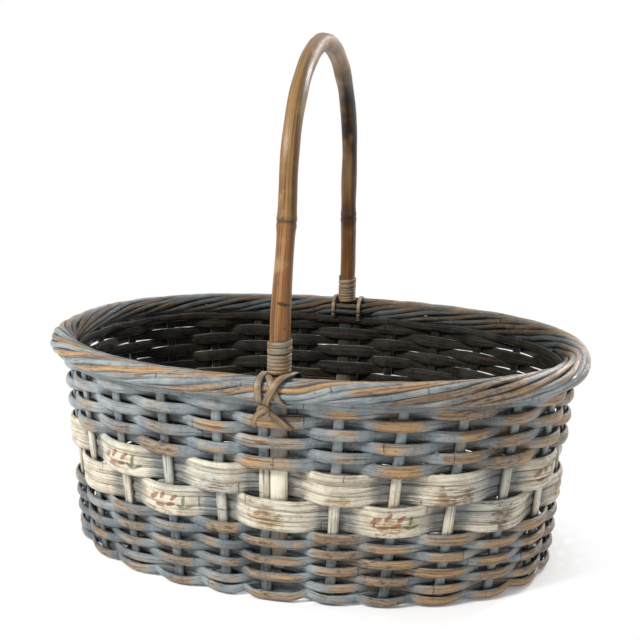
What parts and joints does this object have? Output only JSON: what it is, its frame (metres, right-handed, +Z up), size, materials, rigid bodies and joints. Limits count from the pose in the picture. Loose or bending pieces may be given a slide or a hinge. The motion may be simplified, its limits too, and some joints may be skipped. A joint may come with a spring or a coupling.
{
  "type": "gathering basket",
  "caption": "Oval woven cane basket with upright stakes, over-and-under weavers, a pale band, a rolled border and a fixed hoop handle bound to the border, for gathering and carrying.",
  "frame": {"origin": "on the floor, under the middle of the oval", "axes": "+X along the oval, +Y across it from the front leg of the handle to the back one, +Z up"},
  "size_m": [0.4476, 0.3612, 0.4222],
  "materials": {
    "grey_cane": "worn matt paint",
    "worn_cane": "paint rubbed back to the cane",
    "cream_cane": "worn matt paint",
    "handle_cane": "satin natural cane",
    "binding_cane": "split cane, paint rubbed back"
  },
  "bodies": {
    "root": {"cross_spoke_1": "grey_cane", "cross_spoke_2": "grey_cane", "cross_spoke_3": "grey_cane", "cross_spoke_4": "grey_cane", "cross_spoke_5": "grey_cane", "cross_spoke_6": "grey_cane", "cross_spoke_7": "grey_cane", "long_spoke_1": "grey_cane", "long_spoke_2": "grey_cane", "long_spoke_3": "grey_cane", "long_spoke_4": "grey_cane", "long_spoke_5": "grey_cane", "long_spoke_6": "grey_cane", "base_slat_1": "grey_cane", "base_slat_2": "grey_cane", "base_slat_3": "grey_cane", "base_slat_4": "grey_cane", "base_slat_5": "grey_cane", "base_slat_6": "grey_cane", "base_slat_7": "grey_cane", "base_slat_8": "grey_cane", "base_slat_9": "grey_cane", "base_slat_10": "grey_cane", "base_slat_11": "grey_cane", "base_slat_12": "grey_cane", "base_slat_13": "grey_cane", "base_slat_14": "grey_cane", "lower_weaver_1": "worn_cane", "lower_weaver_2": "worn_cane", "lower_weaver_3": "worn_cane", "lower_weaver_4": "worn_cane", "lower_weaver_5": "worn_cane", "lower_weaver_6": "worn_cane", "lower_weaver_7": "worn_cane", "lower_weaver_8": "worn_cane", "lower_band_weaver_1": "cream_cane", "lower_band_weaver_2": "cream_cane", "lower_band_weaver_3": "cream_cane", "upper_band_weaver_1": "cream_cane", "upper_band_weaver_2": "cream_cane", "upper_band_weaver_3": "cream_cane", "upper_weaver_1": "grey_cane", "upper_weaver_2": "grey_cane", "upper_weaver_3": "grey_cane", "upper_weaver_4": "grey_cane", "upper_weaver_5": "grey_cane", "upper_weaver_6": "grey_cane", "border_rod_1": "worn_cane", "border_rod_2": "worn_cane", "border_rod_3": "worn_cane", "border_rod_4": "worn_cane", "border_rod_5": "worn_cane", "handle_hoop": "handle_cane", "handle_binding_front": "binding_cane", "handle_lashing_front": "binding_cane", "handle_binding_back": "binding_cane", "handle_lashing_back": "binding_cane"}
  },
  "joints": []
}
